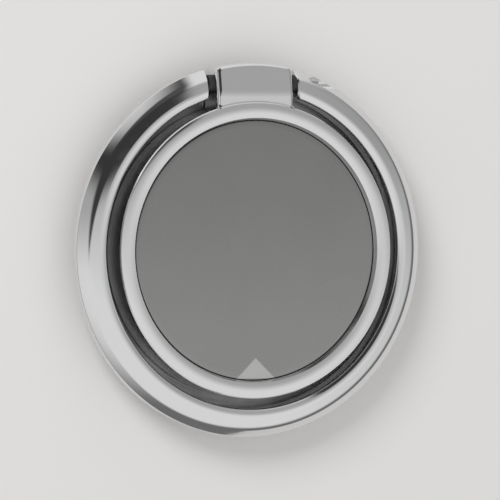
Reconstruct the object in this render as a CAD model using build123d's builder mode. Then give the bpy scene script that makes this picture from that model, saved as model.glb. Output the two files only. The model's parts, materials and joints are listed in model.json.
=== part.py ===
from build123d import *
import os
from math import cos, hypot, radians, sin, sqrt, tan

# Phone ring holder: a finger ring hinged to a disc that turns on an adhesive base.
# The origin is the middle of the adhesive face. +Z points away from the phone and
# +Y to the hinge. All sizes are in millimetres.

# Finger ring
ring_outer_d = 35.0  # across the folded ring
ring_width = 2.7  # radial width of the section
ring_thick = 2.2  # height of the section
ring_crest_inset = 0.6  # from the inside of the ring to the crest of its front
ring_inner_slope = 22.0  # degrees, fall of the front inside its crest
ring_outer_slope = 17.0  # degrees, fall of the front outside its crest
ring_bevel_width = 0.9  # steeper band along the outside of the front
ring_bevel_slope = 44.0  # degrees
ring_crest_round = 1.0
ring_bevel_round = 1.6  # where the steeper band starts
ring_edge_round = 0.3  # along the front's two edges
ring_chamfer = 0.45  # flats along the section's rear corners
ring_end_chamfer = 0.2  # bevel of the two ends beside the lug

# Hinge
lug_width = 7.8  # between the two ends of the ring
end_gap = 0.6  # slit between the lug and each end, filled by a washer
lug_drop = 0.12  # level part of the lug below the foot of the rim
lug_slope = 10.0  # degrees, fall of the lug's outer part
slope_inset = 0.9  # the fall starts this far inside the pin
lug_bend_r = 3.0  # rounding of the bend where the fall starts
lug_corner_r = 0.6  # rounding of the lug's two outer corners
lug_edge_r = 0.5  # rounding of the lug's upper edges
lug_root_r = 0.5  # rounding where the lug leaves the disc
pin_d = 1.2
pin_blind = 1.5  # length of the pin inside the closed end of the ring
pin_tip_gap = 0.1  # space past the pin in the closed end
pin_chamfer = 0.12
hinge_washer_d = 1.7
swing_gap = 0.15  # between the base and the ring's ends as they swing by

# Swivel disc
disc_gap = 1.0  # open space between disc and folded ring
disc_rise = 0.7  # crest of the rim above the top of the folded ring
rim_outer_width = 0.75  # radial width of the domed rim outside its crest
rim_outer_fall = 0.16  # from the crest to the rim's outer edge
rim_inner_width = 0.7  # inside its crest
rim_inner_fall = 0.1  # from the crest to the rim's inner edge
rim_bevel_width = 0.2  # slope between the rim's inner edge and the face plate
rim_bevel_depth = 0.42
rim_edge_chamfer = 0.1  # bevel of the rim's outer edge
deck_thick = 0.8  # metal under the face plate
skirt_wall = 1.1
skirt_gap = 0.2  # skirt and lug above the base
hub_wall = 1.3  # around the rivet head's pocket

# Face plate
face_thick = 0.6
face_sink = 0.37  # below the rim's inner edge
face_gap = 0.05  # radial slit around the plate
face_bevel = 0.12

# Base and adhesive pad
base_inset = 1.0  # the folded ring overhangs the base by this much, to be lifted by a nail
base_web = 0.8  # thickness above the pad
base_chamfer = 0.35
pad_thick = 0.7
pad_recess = 0.3  # depth of the pad's seat in the base
pad_border = 1.0  # rim of the base around the pad
pad_gap = 0.1

# Rivet and its washers
rivet_d = 3.0
rivet_head_d = 6.0
rivet_head_thick = 0.5
rivet_head_chamfer = 0.15
rivet_bore_d = 1.6  # hollow of the clinched end
rivet_bore_depth = 0.8
tail_d = 4.6
tail_thick = 0.4
tail_gap = 0.3  # around the clinched end
tail_seat = 0.05  # between the clinched end and the pad
head_gap = 0.1  # between the rivet's head and the face plate
spring_d = 6.6
spring_thick = 0.2
spring_height = 0.4
spring_gap = 0.25  # around the washers, to the rivet and to the pocket's wall
slip_d = 9.0
slip_thick = 0.3

# Fits
running_gap = 0.04  # radial, where a shaft turns in a bore
press_gap = 0.01  # radial, where a pin or rivet is pressed in
slide_gap = 0.02  # between flat faces that turn on each other

# Ring and hinge, worked out
ring_outer_r = ring_outer_d / 2
ring_inner_r = ring_outer_r - ring_width
end_x = lug_width / 2 + end_gap
end_outer_y = sqrt(ring_outer_r**2 - end_x**2)
end_inner_y = sqrt(ring_inner_r**2 - end_x**2)
hinge_y = (end_outer_y + end_inner_y) / 2
end_half_width = (end_outer_y - end_inner_y) / 2
swing_r = hypot(end_half_width, ring_thick / 2 - ring_chamfer)
pin_r = pin_d / 2
pin_left_x = -end_x - pin_blind
pin_right_x = sqrt(ring_outer_r**2 - (hinge_y + pin_r) ** 2)

slope_y = hinge_y - slope_inset
slope_end_y = ring_outer_r + ring_width
slope_fall = (slope_end_y - slope_y) * tan(radians(lug_slope))
top_normal_z = cos(radians(2 * lug_slope))  # faces as level as this belong to the lug's top

# Front of the ring: lines that meet at the crest and at the steeper band, before rounding
inner_slope = radians(ring_inner_slope)
outer_slope = radians(ring_outer_slope)
crest_cut = (sin(inner_slope) + sin(outer_slope)) / sin(inner_slope + outer_slope) - 1
ring_crest_r = ring_inner_r + ring_crest_inset
ring_bevel_r = ring_outer_r - ring_bevel_width

# Levels, from the phone upwards
base_bottom_z = pad_thick - pad_recess
base_top_z = pad_thick + base_web
hub_bottom_z = base_top_z + slip_thick + slide_gap
skirt_bottom_z = base_top_z + skirt_gap
hinge_z = base_top_z + swing_gap + swing_r
ring_bottom_z = hinge_z - ring_thick / 2
ring_crest_z = ring_bottom_z + ring_thick + ring_crest_round * crest_cut
ring_inner_z = ring_crest_z - ring_crest_inset * tan(inner_slope)
ring_bevel_z = ring_crest_z - (ring_bevel_r - ring_crest_r) * tan(outer_slope)
ring_outer_z = ring_bevel_z - ring_bevel_width * tan(radians(ring_bevel_slope))
disc_top_z = hinge_z + ring_thick / 2 + disc_rise
rim_outer_z = disc_top_z - rim_outer_fall
rim_inner_z = disc_top_z - rim_inner_fall
bevel_foot_z = rim_inner_z - rim_bevel_depth
lug_top_z = rim_outer_z - lug_drop
face_seat_z = rim_inner_z - face_sink - face_thick
head_top_z = face_seat_z - head_gap
head_bottom_z = head_top_z - rivet_head_thick
spring_top_z = head_bottom_z - slide_gap
spring_bottom_z = spring_top_z - spring_height
pocket_floor_z = spring_bottom_z - slide_gap
tail_bottom_z = pad_thick + tail_seat
tail_top_z = tail_bottom_z + tail_thick

# Radii
base_r = ring_outer_r - base_inset
pad_seat_r = base_r - pad_border
disc_r = ring_inner_r - disc_gap
crest_r = disc_r - rim_outer_width
rim_inner_r = crest_r - rim_inner_width
recess_r = rim_inner_r - rim_bevel_width
face_r = recess_r - face_gap
lug_inner_y = sqrt(disc_r**2 - (lug_width / 2) ** 2) - lug_root_r
rivet_r = rivet_d / 2
tail_r = tail_d / 2
head_pocket_r = max(spring_d, rivet_head_d) / 2 + spring_gap
hub_r = head_pocket_r + hub_wall


# Foam pad, stuck into the shallow seat under the base
with BuildPart() as adhesive_pad:
    with BuildSketch(Plane.XY):
        Circle(pad_seat_r - pad_gap)
    extrude(amount=pad_thick)

# Base: a round plate with a seat for the pad and a smaller one for the clinched rivet
with BuildPart() as base_plate:
    with BuildSketch(Plane.XY.offset(base_bottom_z)):
        Circle(base_r)
    extrude(amount=base_top_z - base_bottom_z)
    chamfer(base_plate.edges().group_by(Axis.Z)[-1], base_chamfer)
    with BuildSketch(Plane.XY.offset(base_bottom_z)):
        Circle(pad_seat_r)
    extrude(amount=pad_recess, mode=Mode.SUBTRACT)
    with Locations(Plane(origin=(0, 0, pad_thick), z_dir=(0, 0, -1))):
        CounterBoreHole(rivet_r + press_gap, tail_r + tail_gap, tail_seat + tail_thick)

# Washer that the disc's hub slides on
with BuildPart() as slip_washer:
    with BuildSketch(Plane.XY.offset(base_top_z)):
        Circle(slip_d / 2)
        Circle(rivet_r + spring_gap, mode=Mode.SUBTRACT)
    extrude(amount=slip_thick)

# Rivet: head inside the disc, shank as the axle, hollow end clinched under the base
with BuildPart() as centre_rivet:
    with BuildSketch(Plane.XZ):
        with BuildLine():
            Polyline(
                (0, tail_bottom_z + rivet_bore_depth),
                (rivet_bore_d / 2, tail_bottom_z + rivet_bore_depth),
                (rivet_bore_d / 2, tail_bottom_z),
                (tail_r, tail_bottom_z),
                (tail_r, tail_top_z),
                (rivet_r, tail_top_z),
                (rivet_r, head_bottom_z),
                (rivet_head_d / 2, head_bottom_z),
                (rivet_head_d / 2, head_top_z),
                (0, head_top_z),
                close=True,
            )
        make_face()
    revolve(axis=Axis.Z)
    chamfer(centre_rivet.edges().group_by(Axis.Z)[-1], rivet_head_chamfer)

# Cupped spring washer between the rivet's head and the hub
with BuildPart() as spring_washer:
    with BuildSketch(Plane.XZ):
        with BuildLine():
            Polyline(
                (spring_d / 2, spring_bottom_z),
                (spring_d / 2, spring_bottom_z + spring_thick),
                (rivet_r + spring_gap, spring_top_z),
                (rivet_r + spring_gap, spring_top_z - spring_thick),
                close=True,
            )
        make_face()
    revolve(axis=Axis.Z)

# Hinge lug: level beside the disc, falling over the pin, ended by the ring's own circle
with BuildPart() as hinge_lug:
    with BuildSketch(Plane.XY.offset(skirt_bottom_z)) as lug_plan:
        with Locations((0, lug_inner_y)):
            Rectangle(lug_width, ring_outer_r, align=(Align.CENTER, Align.MIN))
        Circle(ring_outer_r, mode=Mode.INTERSECT)
        fillet(lug_plan.vertices().group_by(Axis.Y)[-1], lug_corner_r)
    extrude(amount=lug_top_z - skirt_bottom_z)
    with BuildSketch(Plane.YZ):
        with BuildLine():
            Polyline(
                (slope_y, lug_top_z),
                (slope_end_y, lug_top_z),
                (slope_end_y, lug_top_z - slope_fall),
                close=True,
            )
        make_face()
    extrude(amount=lug_width, both=True, mode=Mode.SUBTRACT)
    fillet(hinge_lug.edges().filter_by(Axis.X).group_by(Axis.Z)[-1].sort_by(Axis.Y)[-1], lug_bend_r)
    upper_faces = hinge_lug.faces().filter_by(lambda face: face.normal_at().Z > top_normal_z)
    fillet(upper_faces.edges() - hinge_lug.edges().filter_by(Axis.X), lug_edge_r)

# Disc: domed rim outside, bevelled seat for the face plate, hub and pocket inside
with BuildPart() as swivel_disc:
    with BuildSketch(Plane.XZ) as disc_section:
        with BuildLine():
            Polyline(
                (rim_inner_r, rim_inner_z),
                (recess_r, bevel_foot_z),
                (0, bevel_foot_z),
                (0, skirt_bottom_z),
                (disc_r, skirt_bottom_z),
                (disc_r, rim_outer_z),
            )
            ThreePointArc((disc_r, rim_outer_z), (crest_r, disc_top_z), (rim_inner_r, rim_inner_z))
        make_face()
        chamfer(disc_section.vertices().group_by(Axis.X)[-1].sort_by(Axis.Y)[-1], rim_edge_chamfer)
    revolve(axis=Axis.Z)
    add(hinge_lug.part)
    upright_edges = swivel_disc.edges().filter_by(Axis.Z)
    fillet(upright_edges.filter_by_position(Axis.Y, lug_inner_y, disc_r), lug_root_r)
    with BuildSketch(Plane.XY.offset(face_seat_z)):
        Circle(recess_r)
    extrude(amount=disc_top_z - face_seat_z, mode=Mode.SUBTRACT)
    with BuildSketch(Plane.XY.offset(skirt_bottom_z)):
        Circle(disc_r - skirt_wall)
        Circle(hub_r, mode=Mode.SUBTRACT)
    extrude(amount=face_seat_z - deck_thick - skirt_bottom_z, mode=Mode.SUBTRACT)
    with BuildSketch(Plane.XY.offset(skirt_bottom_z)):
        Circle(hub_r)
    extrude(amount=hub_bottom_z - skirt_bottom_z, mode=Mode.SUBTRACT)
    with Locations((0, 0, face_seat_z)):
        CounterBoreHole(rivet_r + running_gap, head_pocket_r, face_seat_z - pocket_floor_z)
    with BuildSketch(Plane.YZ.offset(-lug_width)):
        with Locations((hinge_y, hinge_z)):
            Circle(pin_r + running_gap)
    extrude(amount=lug_width * 2, mode=Mode.SUBTRACT)

# Face plate, glued inside the rim
with BuildPart() as face_plate:
    with BuildSketch(Plane.XY.offset(face_seat_z)):
        Circle(face_r)
    extrude(amount=face_thick)
    chamfer(face_plate.edges().group_by(Axis.Z)[-1], face_bevel)

# Finger ring: a section with its crest near the inside, turned about the disc's axis and cut
# open for the lug, with a closed hole for the pin at one end and an open one at the other
with BuildPart() as finger_ring:
    with BuildSketch(Plane.XZ) as ring_section:
        with BuildLine():
            Polyline(
                (ring_inner_r, ring_bottom_z),
                (ring_inner_r, ring_inner_z),
                (ring_crest_r, ring_crest_z),
                (ring_bevel_r, ring_bevel_z),
                (ring_outer_r, ring_outer_z),
                (ring_outer_r, ring_bottom_z),
                close=True,
            )
        make_face()
        chamfer(ring_section.vertices().group_by(Axis.Y)[0], ring_chamfer)
        for corner, rounding in (
            ((ring_inner_r, ring_inner_z), ring_edge_round),
            ((ring_crest_r, ring_crest_z), ring_crest_round),
            ((ring_bevel_r, ring_bevel_z), ring_bevel_round),
            ((ring_outer_r, ring_outer_z), ring_edge_round),
        ):
            fillet(ring_section.vertices().sort_by_distance(corner)[0], rounding)
    revolve(axis=Axis.Z)
    with BuildSketch(Plane.XY):
        with Locations((0, ring_outer_r)):
            Rectangle(2 * end_x, ring_outer_r)
    extrude(amount=2 * disc_top_z, mode=Mode.SUBTRACT)
    chamfer(finger_ring.faces().filter_by(Axis.X).edges(), ring_end_chamfer)
    with BuildSketch(Plane.YZ.offset(-end_x)):
        with Locations((hinge_y, hinge_z)):
            Circle(pin_r + press_gap)
    extrude(amount=-pin_blind - pin_tip_gap, mode=Mode.SUBTRACT)
    with BuildSketch(Plane.YZ.offset(end_x)):
        with Locations((hinge_y, hinge_z)):
            Circle(pin_r + press_gap)
    extrude(amount=ring_outer_r, mode=Mode.SUBTRACT)

# Hinge pin, pressed into both ends of the ring and turning in the lug
with BuildPart() as hinge_pin:
    with BuildSketch(Plane.YZ.offset(pin_left_x)):
        with Locations((hinge_y, hinge_z)):
            Circle(pin_r)
    extrude(amount=pin_right_x - pin_left_x)
    chamfer(hinge_pin.edges().filter_by(GeomType.CIRCLE), pin_chamfer)

# Friction washers in the slits beside the lug
with BuildPart() as hinge_washer_right:
    with BuildSketch(Plane.YZ.offset(lug_width / 2 + slide_gap)):
        with Locations((hinge_y, hinge_z)):
            Circle(hinge_washer_d / 2)
            Circle(pin_r + running_gap, mode=Mode.SUBTRACT)
    extrude(amount=end_gap - 2 * slide_gap)

with BuildPart() as hinge_washer_left:
    mirror(hinge_washer_right.part, about=Plane.YZ)

pieces = {
    "adhesive_pad": adhesive_pad,
    "base_plate": base_plate,
    "slip_washer": slip_washer,
    "centre_rivet": centre_rivet,
    "spring_washer": spring_washer,
    "swivel_disc": swivel_disc,
    "face_plate": face_plate,
    "finger_ring": finger_ring,
    "hinge_pin": hinge_pin,
    "hinge_washer_left": hinge_washer_left,
    "hinge_washer_right": hinge_washer_right,
}

os.makedirs("parts", exist_ok=True)
for name, piece in pieces.items():
    piece.part.label = name
    export_step(piece.part, f"parts/{name}.step")
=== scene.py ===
import json
import math

import bmesh
import bpy
from bpy.props import FloatProperty, FloatVectorProperty, IntProperty, PointerProperty
from mathutils import Matrix, Vector


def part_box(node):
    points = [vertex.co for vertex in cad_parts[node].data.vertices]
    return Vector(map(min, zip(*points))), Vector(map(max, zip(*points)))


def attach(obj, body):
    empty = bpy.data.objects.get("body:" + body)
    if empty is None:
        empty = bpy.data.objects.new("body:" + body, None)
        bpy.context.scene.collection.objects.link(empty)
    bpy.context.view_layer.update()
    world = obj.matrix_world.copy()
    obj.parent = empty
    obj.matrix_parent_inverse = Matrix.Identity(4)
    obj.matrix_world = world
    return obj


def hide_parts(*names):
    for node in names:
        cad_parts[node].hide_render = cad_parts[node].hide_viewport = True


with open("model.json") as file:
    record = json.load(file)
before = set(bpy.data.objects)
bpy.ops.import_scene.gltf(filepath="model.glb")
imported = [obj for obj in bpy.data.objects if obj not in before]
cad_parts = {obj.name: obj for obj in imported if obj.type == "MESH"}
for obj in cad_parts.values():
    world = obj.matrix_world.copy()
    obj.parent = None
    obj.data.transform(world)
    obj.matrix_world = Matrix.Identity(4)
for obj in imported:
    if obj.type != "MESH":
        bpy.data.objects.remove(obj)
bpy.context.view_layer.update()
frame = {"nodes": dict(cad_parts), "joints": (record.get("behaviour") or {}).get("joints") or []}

bl_info = {
    "name": "Phone Ring Holder",
    "version": (1, 0, 0),
    "blender": (4, 5, 0),
    "location": "3D View > Sidebar > Ring Holder",
    "description": "Dresses a folding phone ring holder and sets its stage",
    "category": "Object",
}

MM = 0.001
NODES = frame["nodes"]
HINGE = Vector(next(j["pos_m"] for j in frame["joints"] if j["name"] == "ring_hinge"))
RING_LOW, RING_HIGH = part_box("finger_ring")
FACE_LOW, FACE_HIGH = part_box("face_plate")
PAD_LOW, PAD_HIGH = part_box("adhesive_pad")
# Edges that fold more than this stay sharp on a smooth mesh
SHARP_ANGLE = math.radians(35.0)
# Sections round a turned piece
TURN_STEPS = 256


def length(name, description, default):
    """A length property in metres, shown in the scene's unit."""
    return FloatProperty(
        name=name, description=description, default=default, min=0.0, unit="LENGTH", precision=6
    )


def angle(name, description, degrees):
    """An angle property, given in degrees."""
    return FloatProperty(
        name=name, description=description, default=math.radians(degrees), subtype="ANGLE"
    )


def colour(name, description, default):
    """A linear colour property."""
    return FloatVectorProperty(
        name=name,
        description=description,
        default=default,
        size=3,
        min=0.0,
        max=1.0,
        subtype="COLOR",
    )


def toned(rgb, factor):
    """A colour made darker or paler."""
    return [value * factor for value in rgb]


class RingSettings(bpy.types.PropertyGroup):
    """Sizes of the finger ring."""

    outer_radius: length("Outer radius", "Swivel axis to the outside of the ring", RING_HIGH.x)
    width: length("Width", "Radial width of the section", 2.7 * MM)
    thickness: length("Thickness", "Height of the section", RING_HIGH.z - RING_LOW.z)
    crest_inset: length("Crest inset", "Inside of the ring to the crest of its front", 0.6 * MM)
    inner_slope: angle("Inner slope", "Fall of the front inside its crest", 22.0)
    outer_slope: angle("Outer slope", "Fall of the front outside its crest", 17.0)
    bevel_width: length("Bevel width", "Steeper band along the outside of the front", 0.9 * MM)
    bevel_slope: angle("Bevel slope", "Fall of the steeper band", 44.0)
    crest_round: length("Crest round", "Rounding of the crest", 1.0 * MM)
    bevel_round: length("Bevel round", "Rounding where the steeper band starts", 1.6 * MM)
    edge_round: length("Edge round", "Rounding of the front's two edges", 0.3 * MM)
    chamfer: length("Chamfer", "Flats along the rear corners", 0.45 * MM)
    end_plane: length("End plane", "Middle of the hinge to each end face", 4.5 * MM)
    end_bevel: length("End bevel", "Bevel around each end face", 0.2 * MM)
    hole_radius: length("Hole radius", "Radius of the holes for the pin", 0.61 * MM)
    blind_depth: length("Blind depth", "Depth of the closed hole", 0.8 * MM)
    steps: IntProperty(name="Steps", description="Sections along the ring", default=420, min=32)
    arc_points: IntProperty(
        name="Arc points", description="Points on each rounding of the front", default=14, min=4
    )


class FinishSettings(bpy.types.PropertyGroup):
    """Colours of the finishes."""

    chrome: colour("Chrome", "Plated castings", (0.78, 0.78, 0.785))
    casting: colour("Casting", "Unpolished metal inside the disc", (0.1, 0.1, 0.102))
    face: colour("Face", "Smooth grey plate inside the rim", (0.305, 0.305, 0.3))
    mark: colour("Mark", "Triangle at the foot of the face", (0.56, 0.56, 0.55))
    nickel: colour("Dull nickel", "Base plate", (0.27, 0.27, 0.275))
    steel: colour("Steel", "Pin, rivet and spring washer", (0.55, 0.55, 0.55))
    nylon: colour("Nylon", "Washers", (0.022, 0.022, 0.024))
    foam: colour("Foam", "Adhesive pad", (0.05, 0.05, 0.052))


class StageSettings(bpy.types.PropertyGroup):
    """Floor, light and camera."""

    floor: colour("Floor", "Pale floor", (0.8, 0.79, 0.775))
    floor_lift: FloatProperty(
        name="Floor lift",
        description="Glow that only the view and reflections see",
        default=0.1,
        min=0.0,
        max=1.0,
    )
    side_angle: angle("Side angle", "Camera to the left of the face's axis", 24.0)
    height_angle: angle("Height angle", "Camera towards the hinge", 1.75)
    distance: length("Distance", "Camera to the middle of the ring", 476 * MM)
    lens: FloatProperty(
        name="Lens", description="Focal length in millimetres", default=367.0, min=1.0
    )


class Wire:
    """A node's output that takes part in Python arithmetic: each operation adds a Math node."""

    def __init__(self, socket):
        self.socket = socket
        self.tree = socket.id_data

    @staticmethod
    def node(tree, kind, settings=None, values=None):
        """Adds one node: its settings first, then the values or links of its sockets."""
        made = tree.nodes.new(kind)
        for key, value in (settings or {}).items():
            setattr(made, key, value)
        Wire.fill(made, values or {})
        return made

    @staticmethod
    def fill(made, values):
        """Gives a node's input sockets their values or links."""
        for key, value in values.items():
            if isinstance(value, Wire):
                made.id_data.links.new(value.socket, made.inputs[key])
            else:
                made.inputs[key].default_value = value

    def math(self, operation, *others):
        """Result of one Math node on this value and the others."""
        values = dict(enumerate((self,) + others))
        made = Wire.node(self.tree, "ShaderNodeMath", {"operation": operation}, values)
        return Wire(made.outputs[0])

    def __add__(self, other):
        return self.math("ADD", other)

    def __sub__(self, other):
        return self.math("SUBTRACT", other)

    def __rsub__(self, other):
        return self.math("MULTIPLY_ADD", -1.0, other)

    def __mul__(self, other):
        return self.math("MULTIPLY", other)

    def __truediv__(self, other):
        return self.math("DIVIDE", other)

    def ramp(self, low, high, start=0.0, end=1.0):
        """Smooth rise from start to end while this value goes from low to high."""
        node = Wire.node(
            self.tree,
            "ShaderNodeMapRange",
            {"interpolation_type": "SMOOTHSTEP"},
            {"Value": self, "From Min": low, "From Max": high, "To Min": start, "To Max": end},
        )
        return Wire(node.outputs["Result"])


# Places of a Mix node's colour sockets among its inputs and outputs
MIX_FACTOR, MIX_FIRST, MIX_SECOND, MIX_RESULT = 0, 6, 7, 2


def mix_colours(factor, first, second):
    """Colour between two colours, each a wire or three numbers."""
    pair = [value if isinstance(value, Wire) else (*value, 1.0) for value in (first, second)]
    values = {MIX_FACTOR: factor, MIX_FIRST: pair[0], MIX_SECOND: pair[1]}
    node = Wire.node(factor.tree, "ShaderNodeMix", {"data_type": "RGBA"}, values)
    return Wire(node.outputs[MIX_RESULT])


class Finish:
    """A new procedural material: its shader and its Object coordinates."""

    def __init__(self, name):
        self.material = bpy.data.materials.new(name)
        self.material.use_nodes = True
        self.tree = self.material.node_tree
        self.shader = self.tree.nodes["Principled BSDF"]
        self.place = Wire(Wire.node(self.tree, "ShaderNodeTexCoord").outputs["Object"])
        split = Wire.node(self.tree, "ShaderNodeSeparateXYZ", values={"Vector": self.place})
        self.x, self.y, self.z = (Wire(s) for s in split.outputs)

    def set(self, **values):
        """Plain numbers and colours on the shader's own sockets."""
        for key, value in values.items():
            self.shader.inputs[key.replace("_", " ")].default_value = value
        return self

    def feed(self, name, wire):
        """Links a wire to one of the shader's sockets."""
        self.tree.links.new(wire.socket, self.shader.inputs[name])
        return self

    def noise(self, scale, detail=2.0, roughness=0.5, vector=None):
        values = {
            "Vector": vector or self.place,
            "Scale": scale,
            "Detail": detail,
            "Roughness": roughness,
        }
        return Wire(Wire.node(self.tree, "ShaderNodeTexNoise", values=values).outputs["Fac"])

    def vector(self, x, y, z):
        node = Wire.node(self.tree, "ShaderNodeCombineXYZ", values={"X": x, "Y": y, "Z": z})
        return Wire(node.outputs["Vector"])

    def radius(self):
        """Distance from the swivel axis."""
        return (self.x * self.x + self.y * self.y).math("SQRT")

    def turning(self, across, along):
        """Coordinates for marks that run round the swivel axis, across per metre of radius."""
        radius = self.radius()
        reach = radius.math("MAXIMUM", 0.1 * MM)
        depth = radius * across + self.z * across
        return self.vector(self.x / reach * along, self.y / reach * along, depth)

    def bump(self, height, distance, strength=1.0):
        values = {"Height": height, "Distance": distance, "Strength": strength}
        return Wire(Wire.node(self.tree, "ShaderNodeBump", values=values).outputs["Normal"])


def chrome_finish(colours, seat_radius, seat_top):
    """Polished outside, dull and dark inside the face plate's seat and below it."""
    finish = Finish("polished_chrome")
    finish.set(Metallic=1.0)
    edge = 0.02 * MM
    inside = finish.radius().ramp(seat_radius, seat_radius + edge, 1.0, 0.0)
    dull = inside * finish.z.ramp(seat_top - edge, seat_top, 1.0, 0.0)
    finish.feed("Base Color", mix_colours(dull, colours.chrome, colours.casting))
    haze = finish.noise(700.0, 3.0)
    fine = finish.noise(1.0, 2.0, vector=finish.turning(9000.0, 6.0))
    gloss = haze.ramp(0.35, 0.75, 0.05, 0.11) + fine.ramp(0.45, 0.8, 0.0, 0.05)
    finish.feed("Roughness", gloss + dull * 0.45)
    swell = finish.noise(240.0, 1.0)
    finish.feed("Normal", finish.bump(swell, 0.006 * MM))
    return finish.material


def face_finish(colours, foot):
    """Half gloss grey with painted shade, darker towards the hinge, and a plain triangle that
    stands on foot.
    """
    finish = Finish("grey_face")
    finish.set(Coat_Roughness=0.06, Coat_IOR=1.5)
    cloud = finish.noise(180.0, 2.0)
    grain = finish.noise(6000.0, 2.0)
    half_width = 1.95 * MM
    height = 1.9 * MM
    up = finish.y - foot
    side = finish.x.math("ABSOLUTE") / half_width + up / height
    soft = 0.05
    mark = side.ramp(1.0 - soft, 1.0 + soft, 1.0, 0.0) * up.ramp(-0.02 * MM, 0.02 * MM)
    # Painted shade: the grey darkens towards the hinge, over a faint random cloud that is the
    # plate's own
    painted_shade_reach = 11.0 * MM
    tone = cloud.ramp(0.3, 0.7) * 0.1 + finish.y.ramp(-painted_shade_reach, painted_shade_reach, 0.8, 0.0)
    plain = mix_colours(tone, toned(colours.face, 0.82), toned(colours.face, 1.09))
    finish.feed("Base Color", mix_colours(mark, plain, colours.mark))
    finish.feed("Metallic", 0.85 - mark * 0.35)
    finish.feed("Roughness", grain.ramp(0.3, 0.7, 0.27, 0.3) + mark * 0.15)
    finish.feed("Coat Weight", 0.35 - mark * 0.3)
    finish.feed("Normal", finish.bump(cloud, 0.004 * MM))
    return finish.material


def nickel_finish(colours):
    """Dull metal with fine lines round the axis."""
    finish = Finish("dull_nickel")
    finish.set(Metallic=1.0)
    lines = finish.noise(1.0, 3.0, 0.6, vector=finish.turning(12000.0, 3.0))
    stain = finish.noise(260.0, 3.0)
    dark, pale = toned(colours.nickel, 0.85), toned(colours.nickel, 1.15)
    finish.feed("Base Color", mix_colours(stain.ramp(0.35, 0.7), dark, pale))
    finish.feed("Roughness", lines.ramp(0.3, 0.7, 0.34, 0.5))
    finish.feed("Normal", finish.bump(lines, 0.002 * MM))
    return finish.material


def steel_finish(colours):
    """Bright metal with fine rings along X, the length of the pin."""
    finish = Finish("turned_steel")
    finish.set(Metallic=1.0)
    close, wide = 14000.0, 300.0
    drawn = finish.vector(finish.x * close, finish.y * wide, finish.z * wide)
    rings = finish.noise(1.0, 2.0, vector=drawn)
    stain = finish.noise(900.0, 3.0)
    dark = toned(colours.steel, 0.9)
    finish.feed("Base Color", mix_colours(stain.ramp(0.3, 0.75), dark, colours.steel))
    finish.feed("Roughness", rings.ramp(0.3, 0.7, 0.2, 0.34))
    finish.feed("Normal", finish.bump(rings, 0.001 * MM))
    return finish.material


def nylon_finish(colours):
    """Black plastic with a fine grain."""
    finish = Finish("black_nylon")
    grain = finish.noise(9000.0, 2.0)
    pale = toned(colours.nylon, 1.5)
    finish.feed("Base Color", mix_colours(grain.ramp(0.3, 0.7), colours.nylon, pale))
    finish.feed("Roughness", grain.ramp(0.3, 0.7, 0.45, 0.6))
    finish.feed("Normal", finish.bump(grain, 0.004 * MM))
    return finish.material


def foam_finish(colours):
    """Fine closed cells on the cut side, a smoother film of glue underneath."""
    finish = Finish("adhesive_foam")
    values = {"Vector": finish.place, "Scale": 7000.0}
    node = Wire.node(finish.tree, "ShaderNodeTexVoronoi", {"feature": "F1"}, values)
    cells = Wire(node.outputs["Distance"])
    drift = finish.noise(400.0, 3.0)
    film = finish.z.ramp(0.01 * MM, 0.03 * MM, 1.0, 0.0)
    dark, pale = toned(colours.foam, 0.7), toned(colours.foam, 1.35)
    tone = cells.ramp(0.1, 0.7) * 0.7 + drift * 0.3
    finish.feed("Base Color", mix_colours(tone, dark, pale))
    finish.feed("Roughness", 0.92 - film * 0.5)
    finish.feed("Normal", finish.bump(cells, 0.03 * MM, 0.7))
    return finish.material


def finish_named(name):
    """A finish that an earlier operator made."""
    material = bpy.data.materials.get(name)
    if material is None:
        raise RuntimeError(f"{name} is missing: make the finishes first")
    return material


def dress(node, material):
    """Gives a solid that keeps its own mesh its finish."""
    slots = NODES[node].material_slots
    if not slots:
        raise RuntimeError(f"{node} has no material slot")
    for slot in slots:
        slot.material = material


def piece_from_mesh(name, mesh, body, slot, *nodes):
    """Puts a finished mesh in the scene, in place of the solids of the same form."""
    piece = bpy.data.objects.new(name, mesh)
    bpy.context.scene.collection.objects.link(piece)
    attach(piece, body)
    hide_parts(*nodes)
    return piece


def turned_mesh(name, outline, finish):
    """Closed, dressed mesh from (radius, height) points that start and end on the axis."""
    made = bmesh.new()
    verts = [made.verts.new((radius, 0.0, height)) for radius, height in outline]
    edges = [made.edges.new(pair) for pair in zip(verts, verts[1:])]
    bmesh.ops.spin(
        made,
        geom=verts + edges,
        cent=(0, 0, 0),
        axis=(0, 0, 1),
        angle=2 * math.pi,
        steps=TURN_STEPS,
        use_merge=True,
    )
    bmesh.ops.remove_doubles(made, verts=made.verts, dist=0.0001 * MM)
    bmesh.ops.recalc_face_normals(made, faces=made.faces)
    mesh = bpy.data.meshes.new(name)
    made.to_mesh(mesh)
    made.free()
    mesh.shade_smooth()
    mesh.set_sharp_from_angle(angle=SHARP_ANGLE)
    mesh.materials.append(finish_named(finish))
    return mesh


def arc_points(centre, radius, start, end, count):
    """Points on an arc in the plane of radius and height, angles in degrees."""
    turns = [math.radians(start + (end - start) * i / count) for i in range(count + 1)]
    return [(centre[0] + radius * math.cos(t), centre[1] + radius * math.sin(t)) for t in turns]


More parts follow.
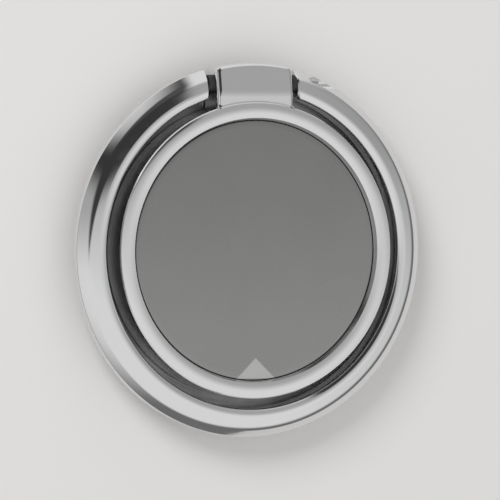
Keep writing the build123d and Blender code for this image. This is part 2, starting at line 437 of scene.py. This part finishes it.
class RingTree:
    """Geometry Nodes for the finger ring: one section carried from end face to end face."""

    kinds = {
        "Hinge": "NodeSocketVector",
        "Steps": "NodeSocketInt",
        "Arc Points": "NodeSocketInt",
        "Finish": "NodeSocketMaterial",
    }
    end_rows = 2
    drill_sides = 64

    def __init__(self, names):
        """Names are the sockets that the tree reads; those without a kind are plain numbers."""
        self.tree = bpy.data.node_groups.new("finger_ring_sweep", "GeometryNodeTree")
        sockets = self.tree.interface
        sockets.new_socket(name="Geometry", in_out="INPUT", socket_type="NodeSocketGeometry")
        for name in names:
            kind = self.kinds.get(name, "NodeSocketFloat")
            sockets.new_socket(name=name, in_out="INPUT", socket_type=kind)
        sockets.new_socket(name="Geometry", in_out="OUTPUT", socket_type="NodeSocketGeometry")
        source = Wire.node(self.tree, "NodeGroupInput")
        self.given = {s.name: Wire(s) for s in source.outputs if s.name}
        self.build()

    def node(self, kind, settings=None, values=None, out=0):
        return Wire(Wire.node(self.tree, kind, settings, values).outputs[out])

    def captured(self, geometry, value, kind):
        """Keeps a value on the geometry's points; gives the geometry and the kept value."""
        made = Wire.node(self.tree, "GeometryNodeCaptureAttribute", {"domain": "POINT"})
        made.capture_items.new(kind, "kept")
        self.tree.links.new(geometry.socket, made.inputs["Geometry"])
        self.tree.links.new(value.socket, made.inputs["kept"])
        return Wire(made.outputs["Geometry"]), Wire(made.outputs["kept"])

    def split(self, vector):
        made = Wire.node(self.tree, "ShaderNodeSeparateXYZ", values={"Vector": vector})
        return [Wire(s) for s in made.outputs]

    def combine(self, x, y, z):
        return self.node("ShaderNodeCombineXYZ", values={"X": x, "Y": y, "Z": z})

    def pick(self, kind, choices):
        """One of several values, chosen by each point's number."""
        made = Wire.node(self.tree, "GeometryNodeIndexSwitch", {"data_type": kind})
        while len(made.index_switch_items) < len(choices):
            made.index_switch_items.new()
        Wire.fill(made, dict(enumerate((self.node("GeometryNodeInputIndex"), *choices))))
        return Wire(made.outputs[0])

    def section(self):
        """The section as a curve: sloped front, chamfered rear; across is X and up is Y."""
        given = self.given
        half = given["Width"] * 0.5
        low = given["Thickness"] * -0.5
        inner, outer = given["Inner Slope"], given["Outer Slope"]
        rise = (inner.math("SINE") + outer.math("SINE")) / (inner + outer).math("SINE") - 1.0
        crest_up = given["Crest Round"] * rise - low
        crest_across = given["Crest Inset"] - half
        bevel_across = half - given["Bevel Width"]
        bevel_up = crest_up - (bevel_across - crest_across) * outer.math("TANGENT")
        outer_up = bevel_up - given["Bevel Width"] * given["Bevel Slope"].math("TANGENT")
        inner_up = crest_up - given["Crest Inset"] * inner.math("TANGENT")
        corners = (
            (half, outer_up, given["Edge Round"], given["Arc Points"]),
            (bevel_across, bevel_up, given["Bevel Round"], given["Arc Points"]),
            (crest_across, crest_up, given["Crest Round"], given["Arc Points"]),
            (half * -1.0, inner_up, given["Edge Round"], given["Arc Points"]),
            (half * -1.0, low, given["Chamfer"], 1),
            (half, low, given["Chamfer"], 1),
        )
        loop = self.node("GeometryNodeCurvePrimitiveCircle", values={"Resolution": len(corners)})
        spots = [self.combine(across, up, 0.0) for across, up, _, _ in corners]
        outline = self.node(
            "GeometryNodeSetPosition",
            values={"Geometry": loop, "Position": self.pick("VECTOR", spots)},
        )
        return self.node(
            "GeometryNodeFilletCurve",
            {"mode": "POLY"},
            {
                "Curve": outline,
                "Count": self.pick("INT", [count for _, _, _, count in corners]),
                "Radius": self.pick("FLOAT", [rounding for _, _, rounding, _ in corners]),
                "Limit Radius": True,
            },
        )

    def sweep(self):
        """Carries the section along the ring, with both ends cut square to X and bevelled."""
        given = self.given
        here = self.node("GeometryNodeInputPosition")
        section, place = self.captured(self.section(), here, "VECTOR")
        section, tangent = self.captured(section, self.node("GeometryNodeInputTangent"), "VECTOR")
        line = self.node("GeometryNodeCurvePrimitiveLine")
        path = self.node(
            "GeometryNodeResampleCurve", values={"Curve": line, "Count": given["Steps"]}
        )
        path, row = self.captured(path, self.node("GeometryNodeInputIndex"), "FLOAT")
        tube = self.node(
            "GeometryNodeCurveToMesh",
            values={"Curve": path, "Profile Curve": section, "Fill Caps": True},
        )
        last = given["Steps"] - 1.0
        near = row.math("MINIMUM", last - row)
        bevel = (near / float(self.end_rows)).math("MINIMUM", 1.0) * given["End Bevel"]
        inset = given["End Bevel"] - bevel
        end = given["End Plane"] + bevel
        run = (row - float(self.end_rows)) / (last - 2.0 * self.end_rows)
        share = run.math("MAXIMUM", 0.0).math("MINIMUM", 1.0)
        across, up, _ = self.split(place)
        tangent_x, tangent_y, _ = self.split(tangent)
        radius = given["Outer Radius"] - given["Width"] * 0.5 + across - tangent_y * inset
        level = up + tangent_x * inset
        first = (end / radius).math("ARCSINE")
        angle = first + share * (2.0 * math.pi - first * 2.0)
        _, _, hinge_z = self.split(given["Hinge"])
        position = self.combine(
            radius * angle.math("SINE"), radius * angle.math("COSINE"), hinge_z + level
        )
        bent = self.node("GeometryNodeSetPosition", values={"Geometry": tube, "Position": position})
        return self.node(
            "GeometryNodeMergeByDistance", values={"Geometry": bent, "Distance": 0.001 * MM}
        )

    def drill(self, start, reach):
        """A round cutter along X at the hinge, from start over reach."""
        given = self.given
        _, hinge_y, hinge_z = self.split(given["Hinge"])
        bar = self.node(
            "GeometryNodeMeshCylinder",
            values={
                "Vertices": self.drill_sides,
                "Radius": given["Hole Radius"],
                "Depth": reach,
            },
        )
        return self.node(
            "GeometryNodeTransform",
            values={
                "Geometry": bar,
                "Translation": self.combine(start + reach * 0.5, hinge_y, hinge_z),
                "Rotation": (0.0, math.pi / 2, 0.0),
            },
        )

    def build(self):
        """Drills the swept ring for the pin, shades it and gives it its finish."""
        given = self.given
        ring = self.sweep()
        spare = given["End Bevel"]
        through = self.drill(given["End Plane"] - spare, given["Outer Radius"])
        closed_start = (given["End Plane"] + given["Blind Depth"]) * -1.0
        closed = self.drill(closed_start, given["Blind Depth"] + spare)
        cut = Wire.node(
            self.tree,
            "GeometryNodeMeshBoolean",
            {"operation": "DIFFERENCE", "solver": "EXACT"},
            {"Mesh 1": ring},
        )
        for cutter in (through, closed):
            self.tree.links.new(cutter.socket, cut.inputs["Mesh 2"])
        smooth = self.node(
            "GeometryNodeSetShadeSmooth",
            {"domain": "FACE"},
            {"Geometry": Wire(cut.outputs["Mesh"]), "Shade Smooth": True},
        )
        steep = self.node("GeometryNodeInputMeshEdgeAngle").math("GREATER_THAN", SHARP_ANGLE)
        sharp = self.node(
            "GeometryNodeSetShadeSmooth",
            {"domain": "EDGE"},
            {"Geometry": smooth, "Selection": steep, "Shade Smooth": False},
        )
        real = self.node("GeometryNodeRealizeInstances", values={"Geometry": sharp})
        dressed = self.node(
            "GeometryNodeSetMaterial", values={"Geometry": real, "Material": given["Finish"]}
        )
        Wire.node(self.tree, "NodeGroupOutput", values={"Geometry": dressed})


def mesh_from_tree(name, tree, values):
    """Runs a Geometry Nodes tree once and gives its result as a plain mesh."""
    holder = bpy.data.objects.new(name + "_tree", bpy.data.meshes.new(name + "_tree"))
    bpy.context.scene.collection.objects.link(holder)
    modifier = holder.modifiers.new("tree", "NODES")
    modifier.node_group = tree
    for item in tree.interface.items_tree:
        if item.in_out == "INPUT" and item.name in values:
            modifier[item.identifier] = values[item.name]
    bpy.context.view_layer.update()
    evaluated = holder.evaluated_get(bpy.context.evaluated_depsgraph_get())
    mesh = bpy.data.meshes.new_from_object(evaluated)
    mesh.name = name
    holder.modifiers.remove(modifier)
    bpy.data.objects.remove(holder)
    if not mesh.polygons:
        raise RuntimeError(f"{name}: the tree made no faces")
    return mesh


class HOLDER_OT_finishes(bpy.types.Operator):
    """Make the procedural finishes of all the pieces"""

    bl_idname = "holder.finishes"
    bl_label = "Finishes"

    def execute(self, context):
        colours = context.scene.holder_finish
        chrome_finish(colours, FACE_HIGH.x + 0.06 * MM, FACE_HIGH.z - 0.05 * MM)
        face_finish(colours, FACE_LOW.y + 0.15 * MM)
        nickel_finish(colours)
        steel_finish(colours)
        nylon_finish(colours)
        foam_finish(colours)
        return {"FINISHED"}


class HOLDER_OT_finger_ring(bpy.types.Operator):
    """Make the finger ring from its sizes"""

    bl_idname = "holder.finger_ring"
    bl_label = "Finger ring"

    def execute(self, context):
        sizes = context.scene.holder_ring
        values = {
            key.replace("_", " ").title(): getattr(sizes, key)
            for key in RingSettings.__annotations__
        }
        values["Hinge"] = HINGE
        values["Finish"] = finish_named("polished_chrome")
        mesh = mesh_from_tree("finger_ring_band", RingTree(values).tree, values)
        piece_from_mesh("finger_ring_band", mesh, "ring", "chrome", "finger_ring")
        return {"FINISHED"}


class HOLDER_OT_swivel_disc(bpy.types.Operator):
    """Finish the disc's casting with its domed rim and hinge lug"""

    bl_idname = "holder.swivel_disc"
    bl_label = "Swivel disc"

    def execute(self, context):
        dress("swivel_disc", finish_named("polished_chrome"))
        return {"FINISHED"}


class HOLDER_OT_face_plate(bpy.types.Operator):
    """Make the slightly domed plate inside the rim"""

    bl_idname = "holder.face_plate"
    bl_label = "Face plate"

    def execute(self, context):
        radius = FACE_HIGH.x
        low, high = FACE_LOW.z, FACE_HIGH.z
        bevel = 0.12 * MM
        dome = 0.04 * MM
        rings = 24
        top = []
        for i in range(rings, -1, -1):
            share = i / rings
            top.append(((radius - bevel) * share, high - dome * share * share))
        edge = arc_points((radius - bevel, high - dome - bevel), bevel, 0.0, 90.0, 6)
        outline = [(0.0, low), (radius, low)] + edge[:-1] + top
        mesh = turned_mesh("face_plate_domed", outline, "grey_face")
        piece_from_mesh("face_plate_domed", mesh, "disc", "face", "face_plate")
        return {"FINISHED"}


class HOLDER_OT_hinge_hardware(bpy.types.Operator):
    """Finish the hinge pin and the two washers beside the lug"""

    bl_idname = "holder.hinge_hardware"
    bl_label = "Hinge pin and washers"

    def execute(self, context):
        dress("hinge_pin", finish_named("turned_steel"))
        for node in ("hinge_washer_left", "hinge_washer_right"):
            dress(node, finish_named("black_nylon"))
        return {"FINISHED"}


class HOLDER_OT_swivel_hardware(bpy.types.Operator):
    """Finish the rivet and the washers inside the swivel"""

    bl_idname = "holder.swivel_hardware"
    bl_label = "Rivet and its washers"

    def execute(self, context):
        for node in ("centre_rivet", "spring_washer"):
            dress(node, finish_named("turned_steel"))
        dress("slip_washer", finish_named("black_nylon"))
        return {"FINISHED"}


class HOLDER_OT_base(bpy.types.Operator):
    """Finish the base plate and make the foam pad under it"""

    bl_idname = "holder.base"
    bl_label = "Base and pad"

    def execute(self, context):
        dress("base_plate", finish_named("dull_nickel"))
        radius = PAD_HIGH.x
        low, high = PAD_LOW.z, PAD_HIGH.z
        # The foam's side bulges: full width at half height, drawn in at both edges
        draw = 0.08 * MM
        rows = 10
        wall = []
        for i in range(rows + 1):
            share = i / rows
            bow = 1.0 - (2.0 * share - 1.0) ** 2
            wall.append((radius - draw * (1.0 - bow), low + (high - low) * share))
        outline = [(0.0, low)] + wall + [(0.0, high)]
        mesh = turned_mesh("foam_pad", outline, "adhesive_foam")
        pad = piece_from_mesh("foam_pad", mesh, "base", "foam", "adhesive_pad")
        return {"FINISHED"}


def area_lamp(name, place, aim, size, power):
    """A round lamp that faces a point."""
    data = bpy.data.lights.new(name, "AREA")
    data.shape = "DISK"
    data.size = size
    data.energy = power
    lamp = bpy.data.objects.new(name, data)
    bpy.context.scene.collection.objects.link(lamp)
    lamp.location = place
    lamp.rotation_mode = "QUATERNION"
    lamp.rotation_quaternion = (Vector(place) - Vector(aim)).to_track_quat("Z", "Y")
    return lamp


class HOLDER_OT_stage(bpy.types.Operator):
    """Set the floor, the soft light and the camera"""

    bl_idname = "holder.stage"
    bl_label = "Stage"

    def execute(self, context):
        stage = context.scene.holder_stage
        self.floor(stage)
        self.light(context.scene)
        self.camera(context.scene, stage)
        context.scene.view_settings.view_transform = "Standard"
        return {"FINISHED"}

    def floor(self, stage):
        reach = 1.5
        corners = [(-reach, -reach, 0), (reach, -reach, 0), (reach, reach, 0), (-reach, reach, 0)]
        mesh = bpy.data.meshes.new("floor")
        mesh.from_pydata(corners, [], [(0, 1, 2, 3)])
        floor = bpy.data.objects.new("floor", mesh)
        bpy.context.scene.collection.objects.link(floor)
        finish = Finish("pale_floor")
        cloud = finish.noise(60.0, 3.0)
        dim = toned(stage.floor, 0.985)
        finish.feed("Base Color", mix_colours(cloud, dim, stage.floor))
        finish.set(Roughness=0.7, Emission_Strength=1.0)
        rays = Wire.node(finish.tree, "ShaderNodeLightPath").outputs
        seen = Wire(rays["Is Camera Ray"])
        for other in ("Is Glossy Ray", "Is Transmission Ray"):
            seen = seen.math("MAXIMUM", Wire(rays[other]))
        glow = toned(stage.floor, stage.floor_lift)
        finish.feed("Emission Color", mix_colours(seen, (0.0, 0.0, 0.0), glow))
        mesh.materials.append(finish.material)

    def light(self, scene):
        """A soft room for the chrome to mirror, and one lamp for the shadow."""
        world = bpy.data.worlds.new("studio")
        scene.world = world
        world.use_nodes = True
        tree = world.node_tree
        heading = Wire(Wire.node(tree, "ShaderNodeTexCoord").outputs["Generated"])
        split = Wire.node(tree, "ShaderNodeSeparateXYZ", values={"Vector": heading})
        x, y, z = (Wire(s) for s in split.outputs)
        # Bright at the holder's foot, darker towards its hinge and pale again far beyond it
        room = y.ramp(-0.25, 0.35, 0.82, 0.44) * x.ramp(0.45, 0.95, 1.0, 0.8)
        room = room + y.ramp(0.62, 0.8, 0.0, 0.4)
        # A dark screen at the upper left, set askew: along and aside run over its two widths
        along = y * 0.88 - x * 0.47
        aside = x * 0.95 + y * 0.34
        screen = along.ramp(0.18, 0.3) * along.ramp(0.88, 0.99, 1.0, 0.0)
        screen = screen * aside.ramp(0.28, 0.37, 1.0, 0.0) * aside.ramp(-0.7, -0.5)
        # Dark round the bottom, lowest at the rear
        right, left = x.math("MAXIMUM", 0.0), x.math("MINIMUM", 0.0)
        rear = y.math("MAXIMUM", 0.0)
        low = (z + rear * 0.6 - left * 0.1 - right * 0.05).ramp(0.2, 0.48, 1.0, 0.0)
        screen_depth, low_grey = 0.9, 0.17
        grey = room * (1.0 - screen * screen_depth) * (1.0 - low) + low * low_grey
        back = tree.nodes["Background"]
        back.inputs["Strength"].default_value = 1.0
        tree.links.new(grey.socket, back.inputs["Color"])
        key = area_lamp("key", place=(-0.42, 0.4, 0.42), aim=(0, 0, 0), size=0.35, power=2.6)
        # Its mirror image would clip to white on the chrome
        key.visible_glossy = False

    def camera(self, scene, stage):
        """A long lens, set by its two angles from the face's axis."""
        data = bpy.data.cameras.new("camera")
        data.sensor_width = 36.0
        data.lens = stage.lens
        data.clip_start, data.clip_end = 0.01, 20.0
        camera = bpy.data.objects.new("camera", data)
        scene.collection.objects.link(camera)
        back = Vector(
            (
                -math.sin(stage.side_angle) * math.cos(stage.height_angle),
                math.sin(stage.height_angle),
                math.cos(stage.side_angle) * math.cos(stage.height_angle),
            )
        )
        right = Vector((0, 1, 0)).cross(back).normalized()
        up = back.cross(right)
        middle = Vector((0, 0, HINGE.z))
        axes = Matrix((right, up, back)).transposed().to_4x4()
        camera.matrix_world = Matrix.Translation(middle + back * stage.distance) @ axes
        scene.camera = camera


class HOLDER_PT_panel(bpy.types.Panel):
    """Sizes, colours and steps of the phone ring holder"""

    bl_idname = "HOLDER_PT_panel"
    bl_label = "Phone Ring Holder"
    bl_space_type = "VIEW_3D"
    bl_region_type = "UI"
    bl_category = "Ring Holder"

    def draw(self, context):
        for name in SETTINGS:
            box = self.layout.box()
            group = getattr(context.scene, name)
            for key in group.__annotations__:
                box.prop(group, key)
        for operator in OPERATORS:
            self.layout.operator(operator.bl_idname)


SETTINGS = {
    "holder_ring": RingSettings,
    "holder_finish": FinishSettings,
    "holder_stage": StageSettings,
}
OPERATORS = (
    HOLDER_OT_finishes,
    HOLDER_OT_finger_ring,
    HOLDER_OT_swivel_disc,
    HOLDER_OT_face_plate,
    HOLDER_OT_hinge_hardware,
    HOLDER_OT_swivel_hardware,
    HOLDER_OT_base,
    HOLDER_OT_stage,
)
CLASSES = (*SETTINGS.values(), *OPERATORS, HOLDER_PT_panel)


def register():
    for cls in CLASSES:
        bpy.utils.register_class(cls)
    for name, group in SETTINGS.items():
        setattr(bpy.types.Scene, name, PointerProperty(type=group))


def unregister():
    for name in SETTINGS:
        delattr(bpy.types.Scene, name)
    for cls in reversed(CLASSES):
        bpy.utils.unregister_class(cls)


def main():
    register()
    bpy.ops.holder.finishes()
    bpy.ops.holder.finger_ring()
    bpy.ops.holder.swivel_disc()
    bpy.ops.holder.face_plate()
    bpy.ops.holder.hinge_hardware()
    bpy.ops.holder.swivel_hardware()
    bpy.ops.holder.base()
    bpy.ops.holder.stage()


if __name__ == "__main__":
    main()
